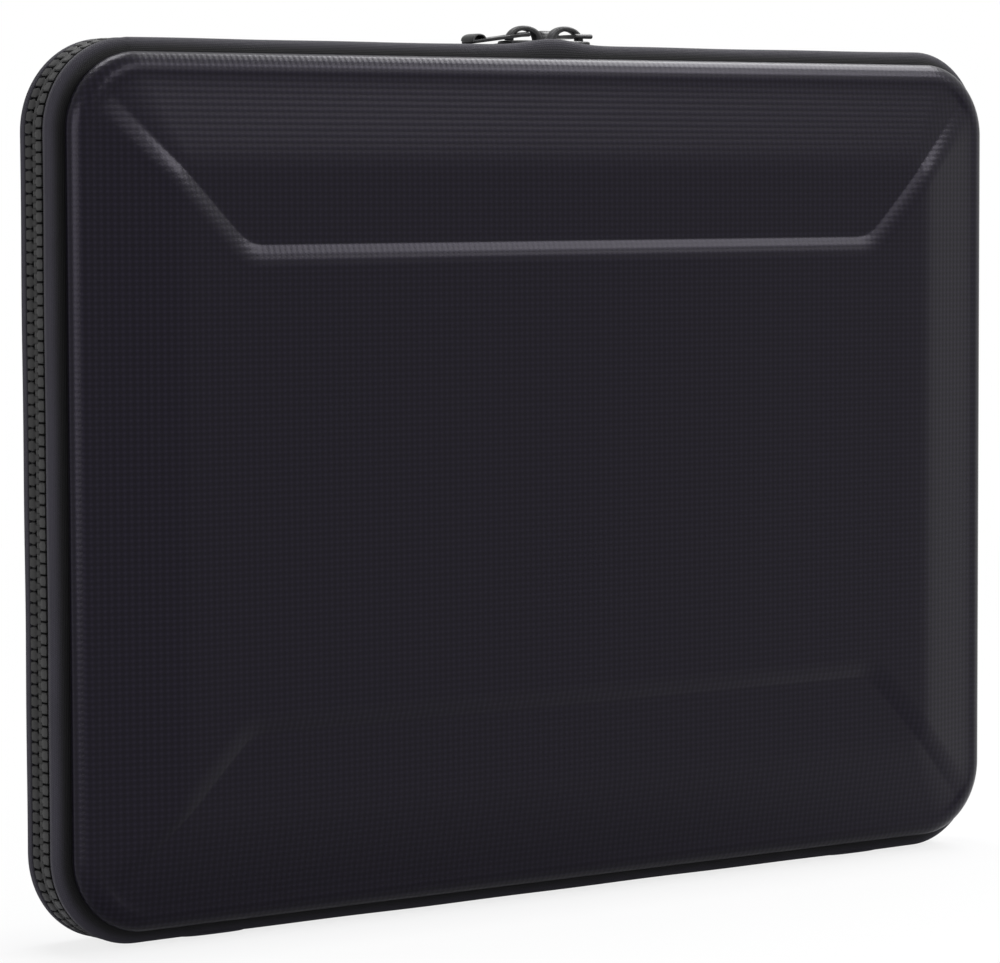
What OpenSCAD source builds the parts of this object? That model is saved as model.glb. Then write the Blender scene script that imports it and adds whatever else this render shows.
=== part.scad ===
// Zip-closed laptop hard case, standing on its spine.
// Two moulded shells, each with a padded frame, lining, rolled gusset and half a
// zip chain, joined by a fabric spine along the bottom. Two sliders close the zip.
// X is the width, the front shell faces -Y, and Z is up. Z = 0 is the standing surface.

/* [Outline] */
// Width of a shell, measured at the groove beside the gusset
shell_w = 334; // [300:1:400]
// Height of a shell, measured at the groove beside the gusset
shell_h = 242; // [210:1:300]
// Corner radius of the groove line
corner_r = 22; // [20:0.5:32]

/* [Shell] */
// Distance from the zip's middle plane to the groove
groove_depth = 8.7; // [8.4:0.1:12]
// Depth of the groove behind the groove line
groove_in = 1.2; // [0.6:0.1:2]
// How far the shell's side swells past the groove line
side_swell = 0.2; // [0.1:0.1:2]
// Height of the side's swell above the groove
swell_h = 2.3; // [1.5:0.1:4]
// Width of the rim's rounding
rim_w = 6; // [4:0.1:9]
// Height of the rim's rounding
rim_h = 4.6; // [3:0.1:6]
// Width of the ledge between the rim and the board
ledge_w = 3; // [2:0.1:4]
// How far the foot of the sloping face is sunk into the rim
foot_sink = 0.4; // [0.3:0.05:0.6]
// Rise of the face from the rim to the plateau
face_rise = 6; // [2.6:0.1:7]
// Width of the sloping border between the groove line and the plateau
border_w = 30; // [26:0.5:44]
// Corner radius of the plateau
plateau_r = 5; // [2:0.5:12]
// Thickness of the moulded board at the foot of its sloping border
board_t = 2.4; // [1.5:0.1:4]
// Width of the shell's edge wall
edge_wall = 2.6; // [2:0.1:5]

/* [Recesses] */
// Distance from the groove line to the long crease of a recess
crease_in = 59; // [52:0.5:64]
// Depth of a recess under the plateau
recess_depth = 1.8; // [0.8:0.1:2.4]
// Width of the sloping step round a recess
step_w = 6; // [3:0.1:7]

/* [Padding] */
// Width of the padded frame inside the groove line
pad_in = 5; // [4.5:0.1:5.4]
// Gap between the zip's middle plane and the padded frame
pad_gap = 0.6; // [0.4:0.1:1.5]
// Thickness of the plush lining
lining_t = 1; // [0.5:0.1:2]
// Width of an elastic corner band
band_w = 18; // [10:0.5:25]
// Thickness of an elastic corner band
band_t = 1.2; // [0.8:0.1:2]
// Distance from the bay's corner to the middle of a band's end
band_reach = 42; // [36:0.5:60]

/* [Zip] */
// Distance between neighbouring teeth of one side
tooth_pitch = 3.2; // [2.8:0.1:4.5]
// Width of a tooth along the chain
tooth_w = 1.3; // [0.8:0.05:1.35]
// How far the teeth stand out past the groove line
chain_out = 4.1; // [3.8:0.1:5.5]
// Thickness of a tooth's body
tooth_t = 3.2; // [2.6:0.1:3.6]
// Thickness of a tooth's head
head_t = 2; // [1.4:0.1:2.4]
// How far a tooth's head passes the middle plane
head_reach = 0.7; // [0.4:0.05:0.8]
// Where a tooth's head joins its body, from the middle plane
head_root = 1; // [0.8:0.1:1.5]
// Half the width of the chain
chain_half = 3.7; // [3.5:0.1:3.8]
// Thickness of the zip tape
tape_t = 0.6; // [0.4:0.1:1]
// Width of the zip tape that stands clear of the teeth
tape_w = 3.1; // [2.6:0.1:3.4]
// Distance from the case's middle to the end of the chain on the bottom edge
chain_end = 120; // [100:0.5:135]

/* [Gusset] */
// Width of the gusset from its folded edge to its crown
crown_w = 1.3; // [0.9:0.1:1.8]
// How far the crown stays below the teeth
crown_low = 0.1; // [0:0.05:0.5]
// Height of the folded edge below the crown
fold_drop = 0.5; // [0.3:0.05:0.7]

/* [Spine] */
// Thickness of the spine fabric
spine_t = 1.2; // [0.8:0.1:1.6]
// Length of a cover over the end of the chain
cover_l = 18; // [10:0.5:24]
// How far an end cover stands out past the teeth
cover_proud = 0.8; // [0.5:0.1:1.5]
// Distance from the middle plane to the side of an end cover
cover_depth = 7.8; // [6.5:0.1:8]

/* [Sliders] */
// Length of a slider
slider_l = 14.4; // [12:0.1:18]
// Half the width of a slider's top plate
slider_half = 5.6; // [5:0.1:6.4]
// Thickness of the lips beside the teeth
lip_t = 0.6; // [0.4:0.05:0.7]
// Height of the back lip
back_lip = 1; // [0.6:0.1:1.2]
// Height of the front lip, low enough for the front teeth to leave
front_lip = 0.15; // [0.1:0.05:0.2]
// Thickness of the top plate
slider_t = 1.4; // [1:0.1:2]
// Thickness of the bottom plate
under_t = 1; // [0.6:0.1:1.2]
// Width of the post between the two plates
post_w = 1.6; // [1.2:0.1:2.4]
// Gap between a slider and what it runs past
slider_gap = 0.3; // [0.2:0.05:0.4]
// Gap between the bottom plate and the padded frame
under_gap = 0.6; // [0.3:0.1:0.8]
// Place of the gap between the two sliders
meeting_x = 3.7; // [-20:0.1:20]
// Gap between the two sliders
meeting_gap = 0.6; // [0.4:0.1:3]
// Height of the bridge above the top plate
bridge_h = 4.4; // [3.8:0.1:6]
// Height of the bridge's opening
bridge_open_h = 2.9; // [2.8:0.1:3.4]
// Width of the bridge
bridge_w = 2.6; // [2:0.1:3]

/* [Pulls] */
// Length of a pull from its pin to its end
pull_l = 20.5; // [16:0.1:21.5]
// Thickness of a pull
pull_t = 1; // [0.8:0.1:1.2]
// Width of a pull's side arms
pull_arm = 1; // [0.6:0.1:1]
// Diameter of a pull's pin
pin_d = 1.4; // [1:0.1:1.5]
// Height of the pin's axis above the top plate
pin_rise = 1.6; // [1.5:0.1:1.7]
// Length of the curled loop at a pull's end
curl_l = 5.4; // [4:0.1:6]
// Height of the curled loop
curl_h = 2; // [1.6:0.1:2.4]
// Thickness of the curled loop
curl_t = 0.8; // [0.6:0.1:1]

/* [Hidden] */

$fn = 48;
eps = 0.01;

// middle of the outline above the standing surface, and the groove line's top
mid_z = cover_proud + chain_out + shell_h / 2;
top_z = mid_z + shell_h / 2;

// shell levels, measured from the middle plane
swell_depth = groove_depth + swell_h;
rim_depth = swell_depth + rim_h;
plateau_depth = rim_depth + face_rise;
recess_level = plateau_depth - recess_depth;
board_depth = rim_depth - board_t;
bay_depth = board_depth - lining_t;
rim_in = rim_w - side_swell;
ledge_in = rim_in + ledge_w;
wall_in = groove_in + edge_wall;

// zip levels, measured outwards from the groove line
tape_out = chain_out - tooth_t / 2;
tape_top = tape_out + tape_t / 2;
tape_under = tape_out - tape_t / 2;
tape_depth = chain_half + tape_w;
under_top = chain_out - tooth_t - slider_gap;
pad_top = under_top - under_t - under_gap;
lip_root = chain_half + slider_gap;
under_half = lip_root + lip_t;
shelf_depth = under_half + under_gap;
fold_depth = under_half + slider_gap;
crown_depth = fold_depth + crown_w;
crown_out = chain_out - crown_low;

// run lengths of the chain, from the middle of the top edge
top_run = shell_w / 2 - corner_r;
side_run = shell_h - 2 * corner_r;
turn_r = corner_r + tape_out;
turn_run = turn_r * PI / 2;
end_run = top_run - chain_end;
chain_run = top_run + side_run + 2 * turn_run + end_run;
tooth_count = floor(chain_run / tooth_pitch);

// slider levels, measured upwards from the groove line's top
plate_z = chain_out + slider_gap;
plate_top = plate_z + slider_t;
pin_z = plate_top + pin_rise;
left_x = meeting_x - meeting_gap / 2 - slider_l / 2;
right_x = meeting_x + meeting_gap / 2 + slider_l / 2;
post_at = slider_l / 2 - post_w / 2 - 1.2;
parted_half = slider_l - post_w;
parted_root = post_w / 2 + slider_gap;
bridge_half = slider_l * 0.44;
bridge_foot = 2.2;
pin_x = -0.4;

// a pull's arms reach past the bridge's foot, and it rests on the top plate's edge
arm_l = norm([bridge_half + pin_x, pin_rise]) + 1.5 * slider_gap;
rest_drop = pin_rise - pull_t / 2 - slider_gap;
pull_tilt = asin(rest_drop / (slider_l / 2 + pin_x));

// a turned pull lies level round the bridge's tail leg, and has room to swing there
turn_rise = pin_d / 2 + 2 * slider_gap;
leg_far = bridge_half * sqrt(1 - pow((turn_rise - pin_d / 2) / bridge_h, 2));
leg_near = (bridge_half - bridge_foot) * sqrt(1 - pow((turn_rise + pin_d / 2) / bridge_open_h, 2))
    - pin_x;
leg_x = (leg_far + leg_near) / 2;
ring_in = norm([(leg_far - leg_near) / 2, bridge_w / 2]) + slider_gap;
pull_w = 2 * (ring_in + pull_arm);

shell_color = [0.13, 0.12, 0.14];
fabric_color = [0.18, 0.17, 0.2];
lining_color = [0.3, 0.3, 0.32];
zip_color = [0.1, 0.1, 0.11];
metal_color = [0.16, 0.16, 0.17];

// ---- placing ----

// The halves are drawn flat, with the depth along +Z, and then stood up.
module front_half() {
    translate([0, 0, mid_z]) rotate([90, 0, 0]) children();
}

module back_half() {
    mirror([0, 1, 0]) front_half() children();
}

// one straight stretch of a profile whose x points outwards and y is the depth
module straight_run(length, reach) {
    translate([reach, length / 2, 0]) rotate([90, 0, 0]) linear_extrude(length) children();
}

module corner_run(q) {
    side_x = (q == 0 || q == 3) ? 1 : -1;
    side_y = (q < 2) ? 1 : -1;
    translate([side_x * top_run, side_y * side_run / 2, 0]) rotate(90 * q)
        rotate_extrude(angle = 90) translate([corner_r, 0]) children();
}

// a profile carried round the whole outline
module all_round() {
    for (q = [0:3]) corner_run(q) children();
    for (turn = [0, 180]) rotate(turn) straight_run(side_run, shell_w / 2) children();
    for (turn = [90, 270]) rotate(turn) straight_run(2 * top_run, shell_h / 2) children();
}

// a profile carried round the outline, from one end of the chain to the other
module along_chain() {
    for (q = [0:3]) corner_run(q) children();
    for (turn = [0, 180]) rotate(turn) straight_run(side_run, shell_w / 2) children();
    rotate(90) straight_run(2 * top_run, shell_h / 2) children();
    for (side = [-1, 1])
        translate([side * (chain_end + end_run / 2), 0, 0])
            rotate(270) straight_run(end_run, shell_h / 2) children();
}

// a profile carried along the spine, between the two ends of the chain
module along_spine() {
    rotate(270) straight_run(2 * chain_end, shell_h / 2) children();
}

// the outline drawn in by an inset
module outline(inset) {
    w = shell_w - 2 * inset;
    h = shell_h - 2 * inset;
    r = corner_r - inset;
    square([w - 2 * r, h], center = true);
    square([w, h - 2 * r], center = true);
    for (x = [-1, 1], y = [-1, 1])
        translate([x * (w / 2 - r), y * (h / 2 - r)]) circle(r);
}

// ---- shell ----

function arc(cx, cy, rx, ry, from, to, steps) =
    [for (i = [0:steps]) let (t = from + (to - from) * i / steps)
        [cx + rx * cos(t), cy + ry * sin(t)]];

// edge wall, swelling side and rounded rim
module rim_profile() {
    polygon(concat(
        arc(-groove_in, swell_depth, side_swell + groove_in, swell_h, -90, 0, 6),
        arc(-rim_in, swell_depth, rim_w, rim_h, 10, 90, 8),
        [[-ledge_in, rim_depth], [-ledge_in, board_depth],
         [-wall_in, board_depth], [-wall_in, groove_depth]]
    ));
}

// the face rises from a narrow ledge inside the rim to a flat plateau
module face_rise_solid() {
    foot_in = rim_in - ledge_w / 5;
    foot_x = shell_w / 2 - corner_r;
    foot_y = shell_h / 2 - corner_r;
    foot_z = rim_depth - foot_sink;
    top_x = shell_w / 2 - border_w - plateau_r;
    top_y = shell_h / 2 - border_w - plateau_r;
    hull() {
        for (x = [-1, 1], y = [-1, 1]) {
            translate([x * foot_x, y * foot_y, foot_z - foot_sink])
                cylinder(r = corner_r - foot_in, h = foot_sink, $fn = 36);
            translate([x * top_x, y * top_y, plateau_depth - foot_sink])
                cylinder(r = plateau_r, h = foot_sink, $fn = 36);
        }
    }
}

// what is taken off the face for the recess along its upper edge: a floor that
// slopes up under the border, then runs level to a sloping step at the crease; its
// ends run out to the corners of the rim at 45 degrees
module recess_cut() {
    lift = 2;
    roof = plateau_depth + lift;
    side_lean = step_w * sqrt(2) / recess_depth;
    step_lean = step_w / recess_depth;
    y_foot = shell_h / 2 - rim_in;
    y_level = shell_h / 2 - border_w;
    y_step = shell_h / 2 - crease_in + step_w;
    y_roof = y_step - step_lean * (roof - recess_level);
    x_foot = shell_w / 2 - rim_in;
    x_level = shell_w / 2 - border_w;
    x_step = x_level - (y_level - y_step);
    x_foot_roof = x_foot + side_lean * (roof - rim_depth);
    x_level_roof = x_level + side_lean * (roof - recess_level);
    x_roof = x_level_roof - (y_level - y_roof);
    function pair(x, y, z) = [[-x, y, z], [x, y, z]];
    polyhedron(
        points = concat(
            pair(x_foot, y_foot, rim_depth), pair(x_level, y_level, recess_level),
            pair(x_step, y_step, recess_level), pair(x_foot_roof, y_foot, roof),
            pair(x_level_roof, y_level, roof), pair(x_roof, y_roof, roof)
        ),
        faces = [
            [0, 2, 3, 1], [2, 4, 5, 3], [4, 10, 11, 5], [0, 1, 7, 6],
            [0, 6, 8, 2], [1, 3, 9, 7], [2, 8, 10, 4], [3, 5, 11, 9],
            [6, 7, 9, 11, 10, 8]
        ]
    );
}

module shell() {
    all_round() rim_profile();
    translate([0, 0, board_depth]) linear_extrude(board_t) outline(ledge_in);
    difference() {
        face_rise_solid();
        recess_cut();
        mirror([0, 1, 0]) recess_cut();
    }
}

// ---- padding and lining ----

module lining() {
    translate([0, 0, bay_depth]) linear_extrude(board_depth - bay_depth) outline(wall_in);
}

// padded frame: it stops under the chain, where the sliders' lower plates run
module pad_profile() {
    polygon([
        [-pad_in, pad_gap], [pad_top, pad_gap], [pad_top, shelf_depth],
        [tape_under, shelf_depth], [tape_under, tape_depth], [-groove_in, tape_depth],
        [-groove_in, groove_depth], [-wall_in, groove_depth], [-wall_in, bay_depth],
        [-pad_in, bay_depth]
    ]);
}

// elastic band across one corner of the bay, lying on the lining
module corner_band(x, y) {
    reach_x = shell_w / 2 - pad_in;
    reach_y = shell_h / 2 - pad_in;
    translate([0, 0, bay_depth - band_t]) linear_extrude(band_t) intersection() {
        outline(pad_in);
        translate([x * (reach_x - band_reach / 2), y * (reach_y - band_reach / 2)])
            rotate(x * y * -45) square([4 * band_reach, band_w], center = true);
    }
}

// ---- gusset and zip ----

// rolled fabric band between the chain or the spine and the groove
module gusset_profile() {
    polygon(concat(
        [[tape_top, fold_depth], [crown_out - fold_drop, fold_depth]],
        arc(-groove_in, crown_depth, crown_out + groove_in, groove_depth - crown_depth, 0, 90, 9),
        [[-groove_in, tape_depth], [tape_under, tape_depth], [tape_top, tape_depth]]
    ));
}

module tape_profile() {
    translate([tape_under, chain_half]) square([tape_t, tape_w]);
}

// where the chain is at a run s from the middle of the top edge: x, y and heading
function on_chain(s) =
    let (
        a = abs(s),
        half_w = shell_w / 2,
        half_h = shell_h / 2,
        t1 = (a - top_run) / turn_r * 180 / PI,
        t2 = (a - top_run - turn_run - side_run) / turn_r * 180 / PI,
        spot =
            a < top_run ? [a, half_h, 90]
            : t1 < 90 ? [top_run + corner_r * sin(t1), half_h - corner_r * (1 - cos(t1)), 90 - t1]
            : t2 < 0 ? [half_w, side_run / 2 - (a - top_run - turn_run), 0]
            : t2 < 90 ? [top_run + corner_r * cos(t2), -side_run / 2 - corner_r * sin(t2), -t2]
            : [top_run - (a - top_run - 2 * turn_run - side_run), -half_h, -90]
    )
    s < 0 ? [-spot[0], spot[1], 180 - spot[2]] : spot;

// a tooth's body, on the tape's edge
module tooth_body(root) {
    translate([chain_out - tooth_t, -tooth_w / 2, root])
        cube([tooth_t, tooth_w, chain_half - root]);
}

// a tooth's head, which passes the middle plane between two teeth of the other side
module tooth_head() {
    translate([tape_out - head_t / 2, -tooth_w / 2, -head_reach])
        cube([head_t, tooth_w, head_root + head_reach + eps]);
}

// teeth of one side; between the two sliders they stand clear of the posts
module teeth(offset_pitches) {
    for (i = [-tooth_count:tooth_count]) {
        s = (i + offset_pitches) * tooth_pitch;
        spot = on_chain(s);
        parted = abs(s - meeting_x) < parted_half;
        if (abs(s) < chain_run - tooth_w)
            translate([spot[0], spot[1], 0]) rotate(spot[2]) {
                tooth_body(parted ? max(parted_root, head_root) : head_root);
                if (!parted) tooth_head();
            }
    }
}

// fabric covers over the two ends of the chain, part of the case's foot
module end_covers() {
    side = pad_gap / 4;
    for (x = [-1, 1])
        translate([x * (chain_end - cover_l / 6), -shell_h / 2 - chain_out - cover_proud, 0])
            translate([-cover_l / 2, 0, side])
                cube([cover_l, cover_proud, cover_depth - side]);
}

// ---- spine ----

module spine_strip(low, thick, half_width) {
    translate([-chain_end, -half_width, mid_z - shell_h / 2 - low])
        cube([2 * chain_end, 2 * half_width, thick]);
}

// ---- sliders ----

module plate_outline(half) {
    polygon([
        [-slider_l / 2, -half * 0.72], [-slider_l / 2, half * 0.72], [slider_l * 0.12, half],
        [slider_l * 0.36, half * 0.94], [slider_l / 2, half * 0.5], [slider_l / 2, -half * 0.5],
        [slider_l * 0.36, -half * 0.94], [slider_l * 0.12, -half]
    ]);
}

// plates above and below the chain, joined by a post at the nose
module slider_body() {
    translate([0, 0, plate_z]) linear_extrude(slider_t) plate_outline(slider_half);
    translate([0, 0, under_top - under_t]) linear_extrude(under_t) plate_outline(under_half);
    translate([post_at, 0, under_top - eps])
        cylinder(d = post_w, h = plate_z - under_top + 2 * eps);
    lip_x = -slider_l * 0.36;
    lip_l = slider_l * 0.66;
    translate([lip_x, lip_root, plate_z - back_lip]) cube([lip_l, lip_t, back_lip + eps]);
    translate([lip_x, -lip_root - lip_t, plate_z - front_lip])
        cube([lip_l, lip_t, front_lip + eps]);
}

// arched bridge on the top plate
module slider_bridge() {
    translate([0, bridge_w / 2, plate_top]) rotate([90, 0, 0]) linear_extrude(bridge_w)
        polygon(concat(
            arc(0, 0, bridge_half, bridge_h, 0, 180, 16),
            arc(pin_x, 0, bridge_half - bridge_foot, bridge_open_h, 180, 0, 14)
        ));
}

// a flat pull: pin through the bridge, two arms, the tab and its curled end
module pull_solid() {
    rotate([90, 0, 0]) cylinder(d = pin_d, h = pull_w, center = true, $fn = 32);
    for (y = [-pull_w / 2, pull_w / 2 - pull_arm])
        translate([-arm_l - eps, y, -pull_t / 2]) cube([arm_l + eps, pull_arm, pull_t]);
    translate([-pull_l, -pull_w / 2, -pull_t / 2]) cube([pull_l - arm_l, pull_w, pull_t]);
    translate([-pull_l + curl_l / 2, pull_w / 2, pull_t / 2 - eps]) rotate([90, 0, 0])
        linear_extrude(pull_w)
            polygon(concat(
                arc(0, 0, curl_l / 2, curl_h, 0, 180, 12),
                arc(0, 0, curl_l / 2 - curl_t, curl_h - curl_t, 180, 0, 12)
            ));
}

// the pull lies back over the slider's tail, on the top plate's edge
module resting_pull() {
    translate([pin_x, 0, pin_z]) rotate([0, -pull_tilt, 0]) pull_solid();
}

// the pull's open end round the bridge's tail leg, and the pull lying over the back
module turned_pull() {
    translate([-leg_x, -ring_in - pin_d / 2, plate_top + turn_rise]) rotate(-90) pull_solid();
}

// sliders and pulls stand on the top edge, drawn with the nose towards +X
module on_top(x) {
    translate([x, 0, top_z]) children();
}

// ---- pieces ----

module back_shell() { color(shell_color) back_half() shell(); }
module back_lining() { color(lining_color) back_half() lining(); }
module back_edge_pad() { color(lining_color) back_half() all_round() pad_profile(); }
module back_gusset() { color(fabric_color) back_half() along_chain() gusset_profile(); }
module back_spine_roll() { color(fabric_color) back_half() along_spine() gusset_profile(); }
module back_zip_tape() { color(zip_color) back_half() along_chain() tape_profile(); }
module back_zip_teeth() { color(zip_color) back_half() teeth(0); }
module back_end_covers() { color(fabric_color) back_half() end_covers(); }

module front_shell() { color(shell_color) front_half() shell(); }
module front_lining() { color(lining_color) front_half() lining(); }
module front_edge_pad() { color(lining_color) front_half() all_round() pad_profile(); }
module front_gusset() { color(fabric_color) front_half() along_chain() gusset_profile(); }
module front_spine_roll() { color(fabric_color) front_half() along_spine() gusset_profile(); }
module front_zip_tape() { color(zip_color) front_half() along_chain() tape_profile(); }
module front_zip_teeth() { color(zip_color) front_half() teeth(0.5); }
module front_end_covers() { color(fabric_color) front_half() end_covers(); }

// outer fabric strip of the spine, from one gusset's folded edge to the other
module spine_fabric() {
    color(fabric_color) spine_strip(chain_out, spine_t, fold_depth);
}

// plush strip inside the spine, between the two padded frames' shelves
module spine_lining() {
    color(lining_color) spine_strip(tape_under, lining_t, shelf_depth);
}

module band_top_left() { color(zip_color) back_half() corner_band(-1, 1); }
module band_top_right() { color(zip_color) back_half() corner_band(1, 1); }
module band_bottom_left() { color(zip_color) back_half() corner_band(-1, -1); }
module band_bottom_right() { color(zip_color) back_half() corner_band(1, -1); }

module left_slider_body() { color(metal_color) on_top(left_x) slider_body(); }
module left_slider_bridge() { color(metal_color) on_top(left_x) slider_bridge(); }
module left_pull() { color(metal_color) on_top(left_x) resting_pull(); }

// the right slider is the left one's mirror image
module right_slider_body() {
    color(metal_color) mirror([1, 0, 0]) on_top(-right_x) slider_body();
}
module right_slider_bridge() {
    color(metal_color) mirror([1, 0, 0]) on_top(-right_x) slider_bridge();
}
module right_pull() {
    color(metal_color) mirror([1, 0, 0]) on_top(-right_x) turned_pull();
}

back_shell();
back_lining();
back_edge_pad();
back_gusset();
back_spine_roll();
back_zip_tape();
back_zip_teeth();
back_end_covers();
spine_fabric();
spine_lining();
band_top_left();
band_top_right();
band_bottom_left();
band_bottom_right();
front_shell();
front_lining();
front_edge_pad();
front_gusset();
front_spine_roll();
front_zip_tape();
front_zip_teeth();
front_end_covers();
left_slider_body();
left_slider_bridge();
left_pull();
right_slider_body();
right_slider_bridge();
right_pull();
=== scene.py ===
import math

import bmesh
import bpy
import numpy as np
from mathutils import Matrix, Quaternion, Vector


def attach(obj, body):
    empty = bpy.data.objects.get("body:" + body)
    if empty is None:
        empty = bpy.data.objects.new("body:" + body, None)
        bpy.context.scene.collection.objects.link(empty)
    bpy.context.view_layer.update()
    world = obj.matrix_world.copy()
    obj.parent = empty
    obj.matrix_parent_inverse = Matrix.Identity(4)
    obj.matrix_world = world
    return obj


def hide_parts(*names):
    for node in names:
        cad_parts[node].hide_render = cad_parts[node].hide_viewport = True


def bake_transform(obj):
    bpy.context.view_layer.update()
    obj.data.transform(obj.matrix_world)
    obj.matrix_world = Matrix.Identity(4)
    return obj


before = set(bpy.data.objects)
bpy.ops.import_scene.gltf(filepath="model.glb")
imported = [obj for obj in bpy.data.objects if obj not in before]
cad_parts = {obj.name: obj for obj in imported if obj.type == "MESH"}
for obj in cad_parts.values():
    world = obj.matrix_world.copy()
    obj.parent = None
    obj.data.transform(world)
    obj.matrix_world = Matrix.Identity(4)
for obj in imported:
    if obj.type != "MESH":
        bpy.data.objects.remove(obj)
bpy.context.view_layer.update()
print("frame loaded:", len(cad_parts), "nodes")

mm = 0.001

# The groove line, in millimetres: a rounded rectangle. n runs outwards from it and d from the
# zip's middle plane. No inner ring is rounded more tightly than leastRadius.
case = {"halfWidth": 167.0, "halfHeight": 121.0, "cornerRadius": 22.0, "middle": 125.9,
        "leastRadius": 4.0}

# each half's body and side of the middle plane
halves = {"front": ("front_half", -1.0), "back": ("back_half", 1.0)}


def newMaterial(name, roughness, sockets):
    made = bpy.data.materials.new(name)
    made.use_nodes = True
    inputs = made.node_tree.nodes["Principled BSDF"].inputs
    for socket, value in {"Roughness": roughness, **sockets}.items():
        inputs[socket].default_value = value
    return made


def addNode(owner, kind, inputs=None, **settings):
    # owner is a material or the world; an input is a value or a socket
    made = owner.node_tree.nodes.new("ShaderNode" + kind)
    for key, value in settings.items():
        setattr(made, key, value)
    for key, value in (inputs or {}).items():
        if isinstance(value, bpy.types.NodeSocket):
            owner.node_tree.links.new(value, made.inputs[key])
        else:
            made.inputs[key].default_value = value
    return made


def calc(owner, operation, a, b=0.0, c=0.0):
    return addNode(owner, "Math", {0: a, 1: b, 2: c}, operation=operation).outputs[0]


def weigh(owner, level, *terms):
    # a weighted sum: level plus each value times its share
    for value, share in terms:
        level = calc(owner, "MULTIPLY_ADD", value, share, level)
    return level


def maximum(owner, first, *others):
    for other in others:
        first = calc(owner, "MAXIMUM", first, other)
    return first


def ramp(material, factor, stops):
    made = addNode(material, "ValToRGB", {"Fac": factor})
    elements = made.color_ramp.elements
    while len(elements) < len(stops):
        elements.new(0.5)
    for element, (position, color) in zip(elements, stops):
        element.position = position
        element.color = (*color, 1.0)
    return made.outputs["Color"]


def objectPoint(material):
    return addNode(material, "TexCoord").outputs["Object"]


def noise(material, scale, detail, roughness):
    made = addNode(material, "TexNoise", {"Vector": objectPoint(material), "Scale": scale,
                                          "Detail": detail, "Roughness": roughness})
    return made.outputs["Fac"]


def clothUv(material, pitch):
    # the UV map is in millimetres and is divided by the pattern's pitch
    uv = addNode(material, "UVMap", uv_map="cloth")
    scaled = addNode(material, "Mapping", {"Vector": uv.outputs["UV"],
                                           "Scale": (1 / pitch[0], 1 / pitch[1], 1.0)})
    parts = addNode(material, "SeparateXYZ", {"Vector": scaled.outputs["Vector"]})
    return parts.outputs["X"], parts.outputs["Y"]


def wave(material, coordinate):
    # cosine of whole turns, moved into 0 to 1
    turned = calc(material, "MULTIPLY", coordinate, 2 * math.pi)
    return weigh(material, 0.5, (calc(material, "COSINE", turned), 0.5))


def attribute(material, name):
    return addNode(material, "Attribute", attribute_name=name).outputs["Fac"]


# Looks. A noise is ((scale, detail, roughness), shares): what it adds to the colour's ramp, the
# height and the roughness, which start at level, 0 and roughness. depth is in metres.

# coated cloth with embossed dots in a grid and a pit between each four; its colour is lighter on
# the dots as a painted highlight and darker in the pits as painted shade
shellLook = {
    "stops": [(0.0, (0.0020, 0.0016, 0.0031)), (0.26, (0.0042, 0.0035, 0.0070)),
              (0.95, (0.0108, 0.0092, 0.0152))],
    # the dots' and pits' colour shares are painted highlight and painted shade; their height shares
    # are the relief
    "level": 0.1, "pitch": (1.92, 1.73), "sharpness": 4.0, "dots": (0.62, 1.0, 0.0),
    "pits": (-0.9, -1.0, 0.0), "noises": [((2600.0, 3.0, 0.6), (0.22, 0.12, 0.14)),
                                          ((14.0, 2.0, 0.5), (0.0, 0.0, 0.06))],
    "roughness": 0.20, "bump": 0.18, "depth": 0.00014,
    "sockets": {"Specular IOR Level": 0.16, "Specular Tint": (0.88, 0.82, 1.0, 1.0)}}

# woven cloths: two thread directions, a fine fuzz and a slow change of shade
weaveLook = {
    "level": -0.2, "threads": (0.5, 1.0, 0.0), "slant": 0.5, "bump": 0.6,
    "noises": [((3200.0, 3.0, 0.65), (0.55, 0.6, 0.0)),
               ((60.0, 2.0, 0.5), (0.3, 0.0, 0.0))],
    # the colour of the painted shade in creases
    "dirt": (0.0015, 0.0014, 0.002, 1.0),
    "sockets": {"Specular IOR Level": 0.2, "Sheen Roughness": 0.4}}
weaves = {
    "gussetCloth": {"stops": [(0.08, (0.014, 0.013, 0.018)), (0.85, (0.040, 0.037, 0.050))],
                    "pitch": (0.62, 0.5), "roughness": 0.66, "depth": 0.00012, "sheen": 0.05},
    "tapeCloth": {"stops": [(0.08, (0.006, 0.006, 0.0065)), (0.85, (0.020, 0.020, 0.021))],
                  "pitch": (0.9, 0.45), "roughness": 0.8, "depth": 0.0001, "sheen": 0.05},
    "paddingCloth": {"stops": [(0.08, (0.028, 0.028, 0.031)), (0.85, (0.062, 0.061, 0.067))],
                     "pitch": (1.1, 0.9), "roughness": 0.9, "depth": 0.0002, "sheen": 0.25},
    "elasticCloth": {"stops": [(0.08, (0.007, 0.007, 0.0075)), (0.85, (0.024, 0.024, 0.026))],
                     "pitch": (1.3, 0.7), "slant": 0.0, "roughness": 0.7, "bump": 0.8,
                     "depth": 0.0002, "sheen": 0.08},
}

# short plush: soft tufts of several sizes under a strong sheen
plushLook = {
    "stops": [(0.2, (0.026, 0.026, 0.029)), (0.85, (0.075, 0.074, 0.080))],
    "level": -0.22, "noises": [((1500.0, 4.0, 0.7), (0.55, 1.0, 0.0)),
                               ((320.0, 2.0, 0.5), (0.3, 0.7, 0.0)),
                               ((26.0, 3.0, 0.55), (0.5, 0.0, 0.0))],
    "roughness": 0.95, "bump": 0.7, "depth": 0.0004, "sheen": 0.45,
    "sockets": {"Specular IOR Level": 0.15, "Sheen Roughness": 0.35}}

# moulded plastic with faint dust
toothLook = {
    "stops": [(0.25, (0.008, 0.008, 0.0082)), (0.8, (0.019, 0.0185, 0.0185))],
    "noises": [((900.0, 3.0, 0.6), (0.5, 1.0, 0.17)),
               ((120.0, 1.0, 0.5), (0.5, 0.0, 0.0))],
    "roughness": 0.38, "bump": 0.25, "depth": 0.0001,
    "sockets": {"Specular IOR Level": 0.2}}

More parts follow.
